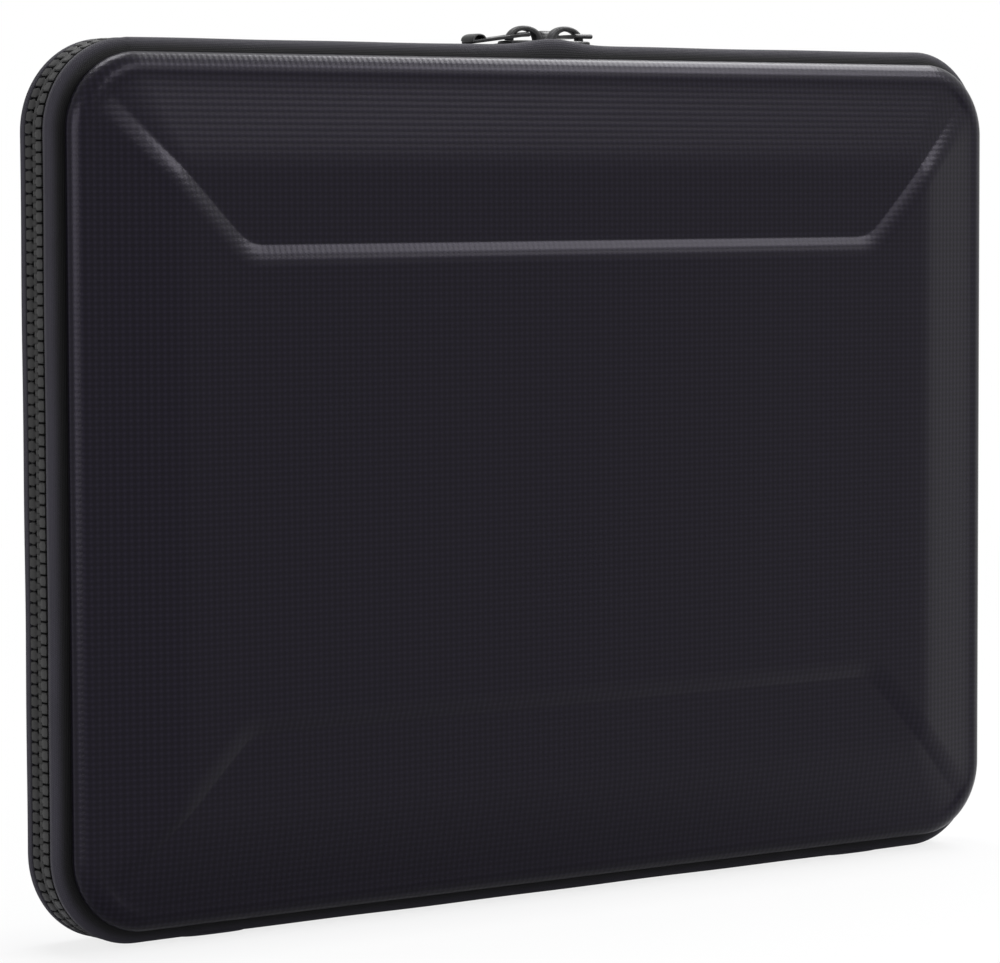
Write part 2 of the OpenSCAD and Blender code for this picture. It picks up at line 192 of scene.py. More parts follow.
threadLook = {
    "stops": [(0.3, (0.016, 0.016, 0.017)), (0.75, (0.055, 0.054, 0.058))],
    "noises": [((4200.0, 2.0, 0.5), (1.0, 1.0, 0.0))], "roughness": 0.6,
    "bump": 0.5, "depth": 0.0001, "sockets": {"Specular IOR Level": 0.4}}

# satin black coat over metal, rubbed at its edges
coatLook = {
    "level": -0.05, "rubbed": (420.0, 3.0, 0.6), "rubbedFrom": -1.1, "rubbedShare": 3.0,
    "rubbedEase": 0.2, "noises": [((1400.0, 4.0, 0.65), (0.16, 1.0, 0.20))],
    "bump": 0.18, "depth": 0.00008,
    "sockets": {"Specular IOR Level": 0.32, "Metallic": 0.1}}
metals = {
    "sliderCoat": {"stops": [(0.02, (0.006, 0.006, 0.0063)), (0.9, (0.055, 0.055, 0.058))],
                   "roughness": 0.26},
    "pullCoat": {"stops": [(0.02, (0.008, 0.008, 0.0083)), (0.9, (0.10, 0.10, 0.104))],
                 "roughness": 0.22}}


def dotGrid(made, look):
    # dots: the mean of two cosines to a power; pits: the rest of 1 to that power. Both shape the
    # relief, and in the colour they paint a highlight on the dots and shade in the pits
    u, v = clothUv(made, look["pitch"])
    grid = weigh(made, 0.0, (wave(made, u), 0.5), (wave(made, v), 0.5))
    dots = calc(made, "POWER", grid, look["sharpness"])
    pits = calc(made, "POWER", calc(made, "SUBTRACT", 1.0, grid), look["sharpness"])
    return [(dots, look["dots"]), (pits, look["pits"])]


def threadCross(made, look):
    # the product of a slanted and a straight cosine
    u, v = clothUv(made, look["pitch"])
    leaning = weigh(made, u, (v, look["slant"]))
    return [(calc(made, "MULTIPLY", wave(made, leaning), wave(made, v)), look["threads"])]


def rubbedEdges(made, look):
    # the piece's "wear" attribute times a noise stretched past 0 to 1 and held under 1
    rubbed = weigh(made, look["rubbedFrom"], (noise(made, *look["rubbed"]), look["rubbedShare"]))
    held = calc(made, "SMOOTH_MIN", rubbed, 1.0, look["rubbedEase"])
    return [(calc(made, "MULTIPLY", attribute(made, "wear"), held), (1.0, 0.0, 0.0))]


def makeFinish(name, look, pattern=None):
    # colour, height and roughness are weighted sums of the pattern and the noises
    made = newMaterial(name, look["roughness"], {"Sheen Weight": look.get("sheen", 0.0),
                                                 **look["sockets"]})
    terms = (pattern(made, look) if pattern else [])
    terms += [(noise(made, *kind), shares) for kind, shares in look["noises"]]
    levels = (look.get("level", 0.0), 0.0, look["roughness"])
    shade, height, rough = (weigh(made, level, *[(value, shares[number]) for value, shares in terms
                                                 if shares[number]])
                            for number, level in enumerate(levels))
    color = ramp(made, shade, look["stops"])
    if "dirt" in look:
        # painted shade: 0 on open cloth and 1 deep in a crease, where the colour is darkened to
        # stand in for shadow
        shadeMix = addNode(made, "Mix", {"Factor": attribute(made, "dirt"), "A": color,
                                      "B": look["dirt"]}, data_type="RGBA")
        color = shadeMix.outputs["Result"]
    bump = addNode(made, "Bump", {"Height": height, "Strength": look["bump"],
                                  "Distance": look["depth"]})
    inputs = made.node_tree.nodes["Principled BSDF"].inputs
    made.node_tree.links.new(color, inputs["Base Color"])
    made.node_tree.links.new(bump.outputs["Normal"], inputs["Normal"])
    if rough != look["roughness"]:
        made.node_tree.links.new(rough, inputs["Roughness"])
    return made


finishes = {
    "embossedCloth": makeFinish("embossedCloth", shellLook, dotGrid),
    "plush": makeFinish("plush", plushLook),
    "toothPlastic": makeFinish("toothPlastic", toothLook),
    "thread": makeFinish("thread", threadLook)}
for name, look in weaves.items():
    finishes[name] = makeFinish(name, {**weaveLook, **look}, threadCross)
for name, look in metals.items():
    finishes[name] = makeFinish(name, {**coatLook, **look}, rubbedEdges)
print("materials made:", len(finishes))


def addObject(name, data):
    made = bpy.data.objects.new(name, data)
    bpy.context.scene.collection.objects.link(made)
    return made


def closeUp(piece):
    # merges doubles at seams and poles, and turns every face outwards
    work = bmesh.new()
    work.from_mesh(piece.data)
    bmesh.ops.remove_doubles(work, verts=work.verts, dist=2e-6)
    bmesh.ops.dissolve_degenerate(work, edges=work.edges, dist=1e-7)
    bmesh.ops.recalc_face_normals(work, faces=work.faces)
    work.to_mesh(piece.data)
    work.free()


def addMesh(name, points, quads, finish, uv=None, smoothAngle=40.0, **attributes):
    # points in metres, quads of point numbers; uv and the attributes have a row for each point
    mesh = bpy.data.meshes.new(name)
    mesh.vertices.add(len(points))
    mesh.vertices.foreach_set("co", np.ascontiguousarray(points, np.float32).ravel())
    mesh.loops.add(quads.size)
    mesh.loops.foreach_set("vertex_index", np.ascontiguousarray(quads, np.int32).ravel())
    mesh.polygons.add(len(quads))
    mesh.polygons.foreach_set("loop_start", np.arange(0, quads.size, 4, dtype=np.int32))
    mesh.update(calc_edges=True)
    if uv is not None:
        layer = mesh.uv_layers.new(name="cloth")
        layer.data.foreach_set("uv", np.asarray(uv, np.float32)[quads.ravel()].ravel())
    for label, values in attributes.items():
        layer = mesh.attributes.new(label, "FLOAT", "POINT")
        layer.data.foreach_set("value", np.asarray(values, np.float32).ravel())
    piece = addObject(name, mesh)
    closeUp(piece)
    mesh.polygons.foreach_set("use_smooth", np.ones(len(mesh.polygons), bool))
    mesh.set_sharp_from_angle(angle=math.radians(smoothAngle))
    mesh.materials.append(finishes[finish])
    return piece


def stacked(*values):
    return np.stack(np.broadcast_arrays(*values), -1)


def dress(piece, slot, body, *nodes):
    # the nodes it stands for, its material slot, which is not used, and the body that carries it
    if nodes:
        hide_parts(*nodes)
    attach(piece, body)
    return piece


def gridQuads(rows, columns, wrapRows, wrapColumns):
    # point (r, c) is number r·columns + c; a quad joins it to the next row and column
    r = np.arange(rows if wrapRows else rows - 1)[:, None]
    c = np.arange(columns if wrapColumns else columns - 1)[None, :]
    rNext, cNext = (r + 1) % rows, (c + 1) % columns
    corners = [r * columns + c, rNext * columns + c, rNext * columns + cNext, r * columns + cNext]
    return stacked(*corners).reshape(-1, 4)


def addGrid(name, points, finish, wrapRows=False, wrapColumns=False, uv=None, **more):
    flatUv = None if uv is None else uv.reshape(-1, 2)
    return addMesh(name, points.reshape(-1, 3),
                   gridQuads(*points.shape[:2], wrapRows, wrapColumns), finish, flatUv, **more)


def gather(parts):
    # (points, quads) pairs in one: a part's numbers are moved past the points before it
    starts = np.cumsum([0] + [len(points) for points, _ in parts])
    return (np.vstack([points for points, _ in parts]),
            np.vstack([quads + start for (_, quads), start in zip(parts, starts)]))


def closeEnds(rows, ends=None):
    # one more row at each end, all at one point: the one given or the row's mean
    ends = rows[[0, -1]].mean(1) if ends is None else np.array(ends)
    caps = np.repeat(ends[:, None], rows.shape[1], 1)
    return np.concatenate([caps[:1], rows, caps[1:]])


def addStrip(name, rows, finish, u, v, ends=None):
    # a profile's rows along a path, closed at both ends; u and v are in millimetres
    uv = stacked(u, v)
    return addGrid(name, closeEnds(rows, ends), finish, False, True,
                   np.concatenate([uv[:1], uv, uv[-1:]]))


def makeStations(perTop, perSide, perCorner, crowd=0.0):
    # Clockwise from the top's left end: each station's place (x, h), -1 to 1 between the corners'
    # centres, and its normal. crowd mixes in a sine, which draws them to a side's ends.
    parts = []
    sides = ((0, 1, perTop), (1, 0, perSide), (0, -1, perTop), (-1, 0, perSide))
    for number, (sideX, sideH, count) in enumerate(sides):
        t = np.linspace(-1, 1, count, endpoint=False)
        t = (1 - crowd) * t + crowd * np.sin(t * math.pi / 2)
        turn = math.pi / 2 * (1 - number - np.linspace(0, 1, perCorner, endpoint=False))
        parts.append(np.broadcast_arrays(t * sideH + sideX, sideH - t * sideX, sideX, sideH))
        parts.append(np.broadcast_arrays(sideX + sideH, sideH - sideX, np.cos(turn),
                                         np.sin(turn)))
    return [row[:, None] for row in np.hstack(parts)]


def ringPoints(stations, n, radius=None):
    # the outline moved out by n: corner centres scaled by the place, plus radius times normal
    placeX, placeH, normalX, normalH = stations
    r = np.maximum(case["cornerRadius"] + n, 0.0) if radius is None else radius
    x = placeX * (case["halfWidth"] + n - r) + r * normalX
    h = placeH * (case["halfHeight"] + n - r) + r * normalH
    return x, h


def stand(x, h, d, side):
    # flat drawing to standing case: x, height from the middle, depth on one side
    return stacked(x, side * d, case["middle"] + h) * mm


def runs(*lines):
    # length along a closed line up to each of its points
    steps = np.hypot(*[np.diff(line, append=line[:1]) for line in lines])
    return np.concatenate([[0], np.cumsum(steps)[:-1]])


def runLength(stations):
    x, h = ringPoints(stations, np.float64(0.0))
    return runs(x[:, 0], h[:, 0])[:, None]


def arc(centreX, centreY, radiusX, radiusY, start, end, steps):
    # part of an ellipse, by degrees: centre plus the radii times cosine and sine
    t = np.radians(np.linspace(start, end, steps + 1))
    return stacked(centreX + radiusX * np.cos(t), centreY + radiusY * np.sin(t))


def circle(corners):
    return np.linspace(0, 2 * math.pi, corners + 1)[:-1][None, :]


def sweepAround(name, profile, side, finish, stations, lift, **more):
    # A closed profile of (n, d) carried round the outline. lift(stations, n, d) moves its rows.
    n, d = lift(stations, profile[None, :, 0], profile[None, :, 1])
    x, h = ringPoints(stations, n)
    uv = stacked(runLength(stations), runs(*profile.T)[None, :])
    return addGrid(name, stand(x, h, d, side), finish, True, True, uv, **more)


def roundedLoop(corners, radius, steps=5):
    # a closed polygon whose corners are quadratic curves of about that radius
    corners = np.asarray(corners, float)
    before, after = np.roll(corners, 1, 0), np.roll(corners, -1, 0)
    radii = np.broadcast_to(np.asarray(radius, float), len(corners))[:, None]

    def cut(other):
        reach = other - corners
        length = np.linalg.norm(reach, axis=1, keepdims=True)
        return corners + reach / length * np.minimum(radii, length * 0.48)  # just under half

    start, end = cut(before)[:, None, :], cut(after)[:, None, :]
    t = np.linspace(0, 1, steps + 1)[None, :, None]
    middle = corners[:, None, :]
    return ((1 - t) ** 2 * start + 2 * t * (1 - t) * middle + t ** 2 * end).reshape(-1, 2)


def smoothStep(t):
    # 3t² - 2t³, held to 0 and 1 outside
    t = np.clip(t, 0, 1)
    return t * t * (3 - 2 * t)


# the moulded shells; a name with In is a distance in from the groove line
shell = {
    "grooveIn": 2.4, "grooveDepth": 8.8, "swellDepth": 11.0, "swellOut": 0.2, "rimWidth": 6.0,
    "rimHeight": 4.6, "faceRise": 6.0, "border": 30.0, "plateauRadius": 5.0,
    "soften": 0.11, "recess": 1.8, "recessSoften": 0.03, "crease": 59.0, "step": 6.0,
    "stepSoften": 0.05, "steepShare": 0.7, "cornerBlend": 4.0, "innerIn": 3.8,
    "innerDepth": 13.2, "innerRings": (121, 112, 96, 76, 56, 36, 22, 12, 6),
    "middleIn": 121, "smoothAngle": 60.0}


def softRamp(t, k):
    # runs 0 to 1 with both bends rounded: half the difference of two hyperbolas
    return 0.5 * (np.sqrt(t * t + k * k) - np.sqrt((t - 1) ** 2 + k * k) + 1)


def softMin(a, b, k):
    # the smaller of a and b, rounded over a width k
    mix = np.clip(0.5 + 0.5 * (b - a) / k, 0, 1)
    return b + (a - b) * mix - k * mix * (1 - mix)


def faceDepth(inset, x, h):
    # a sloping border up to the plateau, less a recess that grows from the rim to the border's
    # top, ends at 45 degrees and rises to the plateau by the square of its step's share
    s = shell
    rimIn = s["rimWidth"] - s["swellOut"]
    slope = (inset - rimIn) / (s["border"] - rimIn)
    foot = softRamp(0.0, s["soften"]) * np.clip(1 - slope, 0, 1)
    depth = s["swellDepth"] + s["rimHeight"] + s["faceRise"] * (softRamp(slope, s["soften"]) - foot)
    fromTop = case["halfHeight"] - np.abs(h)
    fromSide = case["halfWidth"] - np.abs(x)
    inside = softMin((fromSide - fromTop) / math.sqrt(2) + s["step"], s["crease"] - fromTop,
                     s["cornerBlend"])
    share = np.clip(softRamp(inside / s["step"], s["stepSoften"]), 0, 1)
    share = (1 - s["steepShare"]) * share + s["steepShare"] * share ** 2
    grown = np.clip((fromTop - rimIn) / (s["border"] - rimIn), 0, 1)
    return depth - s["recess"] * softRamp(grown, s["recessSoften"]) * share


def makeShell(half):
    # rings from the inner side's middle, out round the swell and the rim, and in over the face
    body, side = halves[half]
    s = shell
    stations = makeStations(108, 84, 28, crowd=1.0)
    rimIn = s["rimWidth"] - s["swellOut"]
    inner = np.array([*s["innerRings"], s["innerIn"]])
    swell = arc(-s["grooveIn"], s["swellDepth"], s["swellOut"] + s["grooveIn"],
                s["swellDepth"] - s["grooveDepth"], -90, 0, 10)
    rim = arc(-rimIn, s["swellDepth"], s["rimWidth"], s["rimHeight"], 0, 90, 18)[1:]
    bend, foot, top = s["border"] + 3, s["crease"] - 8, s["crease"] + 2
    face = np.concatenate([np.arange(rimIn + 0.5, bend - 5.5, 1.1),
                           np.arange(bend - 5.5, bend, 0.5), np.arange(bend, foot, 1.2),
                           np.arange(foot, top, 0.35), np.geomspace(top, s["middleIn"], 12)])
    edge = np.vstack([swell, rim])
    n = np.concatenate([-inner, [-s["innerIn"]], edge[:, 0], -face])
    shrink = np.interp(-n, [rimIn, s["border"]], [case["cornerRadius"] - rimIn, s["plateauRadius"]])
    isFace = np.arange(len(n)) >= len(n) - len(face)

    def radiusAt(rings):
        return np.where(isFace, shrink, np.maximum(case["cornerRadius"] + rings,
                                                   case["leastRadius"]))

    radius = np.minimum(radiusAt(n), case["halfHeight"] + n)
    x, h = ringPoints(stations, n[None, :], radius[None, :])
    flat = np.concatenate([np.full(len(inner), s["innerDepth"]), [s["grooveDepth"]], edge[:, 1]])
    d = np.concatenate([np.broadcast_to(flat, (len(x), len(flat))),
                        faceDepth(face[None, :], x[:, isFace], h[:, isFace])], axis=1)
    # the cloth lies flat on the face; past the rim's top it runs on by the rim's own length
    rimLength = np.concatenate([[0], np.cumsum(np.hypot(*np.diff(edge, axis=0).T))])
    clothN = n.copy()
    clothN[len(inner) + 1:len(inner) + 1 + len(edge)] = -rimIn + rimLength[-1] - rimLength
    clothRadius = np.where(isFace, radius, radiusAt(clothN))
    uv = stacked(*ringPoints(stations, clothN[None, :], clothRadius[None, :]))
    piece = addGrid(half + "ShellCover", stand(x, h, d, side), "embossedCloth", True, False, uv,
                    smoothAngle=s["smoothAngle"])
    return dress(piece, "shell", body, half + "_shell")


for half in halves:
    made = makeShell(half)
    print(made.name, len(made.data.polygons), "faces")


# the rolled gussets between the zip and the shells' grooves
gusset = {
    "foldIn": 3.1, "foldDepth": 4.75, "foldThick": 0.4, "underDepth": 6.7,
    "crownOut": 4.15, "crownDepth": 6.1, "footIn": 2.4, "footDepth": 8.75,
    "footUnder": 6.9, "belly": (0.25, 0.15), "edgeRadius": 0.75, "bulge": 1.9,
    "bulgeAt": 2.0, "bulgeReach": 11.0, "ripple": 0.05, "ripplePitches": (9.0, 23.0),
    # shadeFrom, shadeRun, foldShade and foldRun place the painted shade in the crease and at the
    # fold
    "shadeFrom": 3.7, "shadeRun": 2.8, "foldShade": 0.5, "foldRun": 0.4}


def gussetLift(stations, n, d):
    # a bell of x over the parted chain and a slow ripple of two sines, both growing from the
    # foot to the crown
    g = gusset
    run = runLength(stations)
    x = ringPoints(stations, np.float64(0.0))[0]
    onTop = stations[3] > 0.99
    bell = np.exp(-((x - g["bulgeAt"]) / g["bulgeReach"]) ** 2) * onTop
    grown = smoothStep((n + 0.2) / (g["crownOut"] + 0.2))
    short, long = g["ripplePitches"]
    ripple = g["ripple"] * (np.sin(run / short) + np.sin(run / long + 1.0))
    return n + (g["bulge"] * bell + ripple) * grown, d


def makeGusset(half):
    # the profile: a small round at the zip, a quarter ellipse with a belly, and the fold inside
    body, side = halves[half]
    g = gusset
    roll = arc(-g["footIn"], g["crownDepth"], g["crownOut"] + g["footIn"],
               g["footDepth"] - g["crownDepth"], 0, 90, 16)
    # fuller than the ellipse: pushed out by a sine
    roll = roll + np.sin(np.linspace(0, math.pi, len(roll)))[:, None] * g["belly"]
    fold = roundedLoop([[g["crownOut"] - 0.35, g["foldDepth"] + 0.1], [g["foldIn"], g["foldDepth"]],
                        [g["foldIn"] - g["foldThick"], g["underDepth"]],
                        [-g["footIn"], g["footUnder"]]], [0.5, 0.2, 0.2, 0.3], 3)
    r = g["edgeRadius"]
    edge = arc(g["crownOut"] - r, g["foldDepth"] + r, r, r, -90, -20, 5)
    profile = np.vstack([edge, roll, fold[::-1][:-4]])
    stations = makeStations(190, 130, 26)
    # painted shade: the cloth is darkened in the crease beside the shell, most at the foot, and at
    # the inside fold
    deep = smoothStep((g["shadeFrom"] - profile[:, 0]) / g["shadeRun"])
    deep = deep * (profile[:, 1] > g["crownDepth"])
    folded = smoothStep((g["foldDepth"] + 0.45 - profile[:, 1]) / g["foldRun"]) * g["foldShade"]
    dirt = np.broadcast_to(np.maximum(deep, folded), (len(stations[0]), len(profile)))
    piece = sweepAround(half + "GussetRoll", profile, side, "gussetCloth", stations, gussetLift,
                        dirt=dirt)
    return dress(piece, "gusset", body, half + "_gusset", half + "_spine_roll")


for half in halves:
    print(makeGusset(half).name)


# The zip chain. A tooth's ring is (d, how far it is drawn in, share of the width), and its head
# ends past the middle plane.
zipChain = {
    "pitch": 3.2, "out": 4.1, "thick": 3.2, "bodyWidth": 2.75, "chamfer": 0.28,
    "bodyRings": [(4.2, 0.10, 0.55), (4.05, 0.0, 0.92), (3.2, 0.0, 1.0), (1.5, 0.0, 1.0),
                  (1.1, 0.2, 0.62)],
    "headRings": [(0.6, 0.3, 0.5), (0.25, 0.28, 0.8), (-0.5, 0.28, 0.82),
                  (-0.85, 0.45, 0.5)],
    "chainEnd": 120.0, "endGap": 1.3, "meetingX": 3.7, "parted": 12.8,
    "smoothAngle": 28.0}


def chainRuns():
    # lengths of half the top, a side and a corner at the tape's line, and of half the chain
    turn = (case["cornerRadius"] + zipChain["out"] - zipChain["thick"] / 2) * math.pi / 2
    top = case["halfWidth"] - case["cornerRadius"]
    side = 2 * (case["halfHeight"] - case["cornerRadius"])
    return top, side, turn, 2 * (top + turn) + side - zipChain["chainEnd"]


def onChain(s):
    # place (x, h) and normal for runs s from the top's middle: each corner turns by its share of
    # a quarter, and the right half is mirrored to the left
    top, side, turn, _ = chainRuns()
    a = np.abs(s)
    first = np.clip((a - top) / turn, 0, 1) * math.pi / 2
    second = np.clip((a - top - turn - side) / turn, 0, 1) * math.pi / 2
    angle = math.pi / 2 - first - second
    centreX = np.minimum(a, top)
    centreX = np.where(a > top + side + 2 * turn, top - (a - top - side - 2 * turn), centreX)
    centreH = side / 2 - np.clip(a - top - turn, 0, side)
    x = centreX + case["cornerRadius"] * np.cos(angle)
    h = centreH + case["cornerRadius"] * np.sin(angle)
    mirror = np.where(s < 0, -1.0, 1.0)
    return mirror * x, h, mirror * np.cos(angle), np.sin(angle)


def copyAlong(shape, quads, places, side):
    # a shape of (n, run, d) at each place: its point plus n times normal and run times tangent
    x0, h0, nx, nh = [k[:, None] for k in onChain(places)]
    n, t, d = shape.T[:, None, :]
    points = stand(x0 + n * nx + t * nh, h0 + n * nh - t * nx, d, side).reshape(-1, 3)
    shift = np.arange(len(places))[:, None, None] * len(shape)
    return points, (quads[None] + shift).reshape(-1, 4)


def toothShape(headed):
    # one tooth as rings along d, each a chamfered rectangle of n by run
    z = zipChain
    rings = z["bodyRings"] + (z["headRings"] if headed else [])
    depth, drawIn, share = np.array(rings).T[:, :, None]
    low, high = z["out"] - z["thick"] + drawIn, z["out"] - drawIn
    w = z["bodyWidth"] / 2 * share
    cut = z["chamfer"] * share
    across = np.hstack([low, high - cut, high, high, high - cut, low])
    along = np.hstack([-w, -w, cut - w, w - cut, w, w])
    count, corners = across.shape
    caps = [[0, 1, 4, 5], [1, 2, 3, 4]]
    ends = [c[::-1] for c in caps] + [[k + (count - 1) * corners for k in c] for c in caps]
    return (stacked(across, along, depth).reshape(-1, 3),
            np.vstack([gridQuads(count, corners, False, True), ends]))


def makeTeeth(half, offset):
    # a pitch apart from the top's middle, and headless near the sliders' meeting
    body, side = halves[half]
    z = zipChain
    total = chainRuns()[3]
    count = int(total / z["pitch"])
    places = (np.arange(-count, count + 1) + offset) * z["pitch"]
    places = places[np.abs(places) < total - z["endGap"]]
    meshed = np.abs(places - z["meetingX"]) >= z["parted"]
    points, quads = gather([copyAlong(*toothShape(headed), places[meshed == headed], side)
                            for headed in (True, False)])
    piece = addMesh(half + "ToothRow", points, quads, "toothPlastic",
                    smoothAngle=z["smoothAngle"])
    return dress(piece, "zip_teeth", body, half + "_zip_teeth")


# the tape inside the gusset
tape = {"thick": 0.6, "near": 3.75, "far": 6.75, "radius": 0.2, "spacing": 3.0}


def makeTape(half):
    # a closed profile of (n, d) carried along the chain
    body, side = halves[half]
    level = zipChain["out"] - zipChain["thick"] / 2
    low, high = level - tape["thick"] / 2, level + tape["thick"] / 2
    profile = roundedLoop([[low, tape["near"]], [high, tape["near"]], [high, tape["far"]],
                           [low, tape["far"]]], tape["radius"], 3)
    total = chainRuns()[3]
    s = np.linspace(-total, total, int(2 * total / tape["spacing"]))
    x0, h0, nx, nh = [k[:, None] for k in onChain(s)]
    n, d = profile.T[:, None, :]
    piece = addStrip(half + "ZipTape", stand(x0 + n * nx, h0 + n * nh, d, side), "tapeCloth",
                     s[:, None], runs(*profile.T))
    return dress(piece, "zip_tape", body, half + "_zip_tape")


makeTeeth("back", 0.0)
makeTeeth("front", 0.5)
for half in halves:
    makeTape(half)
print("zip chain made")


# padded frames round the bay
padding = {
    "inner": -5.0, "outer": -1.0, "near": 0.6, "shelfN": 2.2, "shelfD": 5.2,
    "backD": 6.8, "notchN": -2.2, "notchD": 8.6, "wall": -3.8, "far": 12.2,
    "radii": (1.5, 1.5, 0.4, 0.4, 0.3, 0.3, 0.3, 0.3, 0.2, 0.2), "puff": 0.15,
    "puffPitch": 12.0, "puffTo": 2.6, "puffEase": 2.0, "fill": 0.75}


def puffed(stations, n, d):
    # the foam swells a little between its seams: a cosine of the run, on the side that shows
    p = padding
    swell = p["puff"] * (0.5 + 0.5 * np.cos(runLength(stations) * 2 * math.pi / p["puffPitch"]))
    return n, d + swell * smoothStep((p["puffTo"] - d) / p["puffEase"])


def makePad(half):
    # a stepped profile with rounded corners, carried round the outline
    body, side = halves[half]
    p = padding
    profile = roundedLoop([[p["inner"], p["near"]], [p["outer"], p["near"]],
                           [p["outer"], p["shelfD"]], [p["shelfN"], p["shelfD"]],
                           [p["shelfN"], p["backD"]], [p["notchN"], p["backD"]],
                           [p["notchN"], p["notchD"]], [p["wall"], p["notchD"]],
                           [p["wall"], p["far"]], [p["inner"], p["far"]]], p["radii"])
    piece = sweepAround(half + "PaddedFrame", profile, side, "paddingCloth",
                        makeStations(150, 110, 18), puffed)
    return dress(piece, "padding", body, half + "_edge_pad")


lining = {
    "near": 12.35, "far": 13.15, "wave": 0.12, "waveX": (31, 0.6), "waveH": (27, 0.3),
    "waveFrom": 4, "waveOver": 12,
    "rings": (121, 110, 98, 86, 74, 62, 50, 38, 28, 20, 13, 8, 5.5, 4.4, 3.9)}


def makeLining(half):
    # two skins joined at the wall; the near one waves by a sine of x times one of h
    body, side = halves[half]
    k = lining
    stations = makeStations(80, 60, 14, crowd=0.6)
    inner = np.array(k["rings"])
    n = np.concatenate([-inner, -inner[::-1]])
    radius = np.minimum(np.maximum(case["cornerRadius"] + n, case["leastRadius"]),
                        case["halfHeight"] + n)
    x, h = ringPoints(stations, n[None, :], radius[None, :])
    fade = smoothStep((-n - k["waveFrom"]) / k["waveOver"])[None, :]
    soft = k["wave"] * fade * (np.sin(x / k["waveX"][0] + k["waveX"][1])
                               * np.sin(h / k["waveH"][0] + k["waveH"][1]))
    d = np.where(np.arange(len(n)) < len(inner), k["near"] + soft, k["far"])
    piece = addGrid(half + "PlushLining", stand(x, h, d, side), "plush", True, False,
                    stacked(x, h))
    return dress(piece, "lining", body, half + "_lining")


for half in halves:
    makePad(half)
    makeLining(half)
print("padding and linings made")


# elastic bands across the corners of the bay
band = {"width": 18.0, "thick": 1.1, "reach": 42.0, "frameIn": 5.0, "depth": 12.15, "rib": 1.3,
        "wave": 0.10, "edgeThick": 0.35, "edgeOver": 0.7}


def makeBand(signX, signH):
    # a strip at 45 degrees, its ends along the frame's inner edge and its ribs a cosine across
    b = band
    across = np.linspace(-1, 1, 55) * b["width"] / 2
    along = np.linspace(-1, 1, 41)
    # at distance q from the corner the strip spans q either way
    q = b["reach"] / math.sqrt(2) + across[None, :]
    t = along[:, None] * q
    x = signX * (case["halfWidth"] - b["frameIn"] - (q + t) / math.sqrt(2))
    h = signH * (case["halfHeight"] - b["frameIn"] - (q - t) / math.sqrt(2))
    rib = b["wave"] * (0.5 + 0.5 * np.cos(across / b["rib"] * 2 * math.pi))
    edge = smoothStep((b["width"] / 2 - np.abs(across)) / b["edgeOver"])
    top = b["depth"] - b["edgeThick"] - (b["thick"] - b["edgeThick"] - rib) * edge
    d = np.concatenate([top, np.full_like(top, b["depth"])])
    x, h = [np.concatenate([k, k[:, ::-1]], axis=1) for k in (x, h)]
    corner = f"_{'top' if signH > 0 else 'bottom'}_{'left' if signX < 0 else 'right'}"
    piece = addStrip("elastic" + corner, stand(x, h, d, 1.0), "elasticCloth",
                     np.concatenate([across, across[::-1]]),
                     along[:, None] * b["reach"] / math.sqrt(2))
    return dress(piece, "elastic", "back_half", "band" + corner)


for signX in (-1, 1):
    for signH in (-1, 1):
        makeBand(signX, signH)
print("elastic bands made")


# the spine's two strips: lowest, highest and half depth of each
spine = {"half": 120.0, "cloth": (0.8, 2.0, 4.75), "plush": (2.72, 3.65, 5.05), "radius": 0.35,
         "ripple": 0.05, "ripplePitches": (7.0, 31.0), "threadStep": 0.4}


def makeStrip(name, node, size, finish):
    # a rounded section of (y, z) along x, with a ripple on top: the product of two sines
    low, high, halfDepth = size
    section = roundedLoop([[-halfDepth, low], [halfDepth, low], [halfDepth, high],
                           [-halfDepth, high]], spine["radius"], 3)
    extra = np.linspace(-1, 1, 13)[1:-1] * (halfDepth - 0.4)  # more points along the top and the bottom
    section = np.vstack([section[:4], stacked(extra, low), section[4:12],
                         stacked(-extra, high), section[12:]])
    x = np.linspace(-1, 1, 121)[:, None] * spine["half"]
    short, long = spine["ripplePitches"]
    ripple = spine["ripple"] * np.sin(x / short) * np.sin(x / long)

    def carried(y, z):
        return stacked(x, y, z + ripple * (z > (low + high) / 2)) * mm

    piece = addStrip(name, carried(*section.T), finish,
                     x, np.arange(len(section)) * spine["threadStep"],
                     carried(*section.mean(0))[[0, -1], 0])
    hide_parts(node)
    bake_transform(piece)


makeStrip("spineCloth", "spine_fabric", spine["cloth"], "gussetCloth")
makeStrip("spinePlush", "spine_lining", spine["plush"], "plush")
print("spine made")


# covers over the chain's ends
cover = {
    "middle": 119.0, "length": 22.0, "high": 1.5, "near": 0.15, "far": 7.8, "flatTo": 2.5,
    "rise": 0.75, "power": 3.2, "seamAt": 4.0, "seamWidth": 0.6, "seamDepth": 0.22,
    "steps": 24}


def squared(t, power):
    # squares a circle's cosine or sine: its sign times its size to a power under 1
    return np.sign(t) * np.abs(t) ** power


def superBox(size, steps, power):
    # a rounded box: directions on a sphere, each coordinate raised to 2/power
    u = circle(4 * steps).T - math.pi
    v = np.linspace(-math.pi / 2, math.pi / 2, 2 * steps + 1)[None, :]
    p = 2 / power
    flat = squared(np.cos(v), p)
    return stacked(flat * squared(np.cos(u), p), flat * squared(np.sin(u), p),
                   squared(np.sin(v), p)) * size


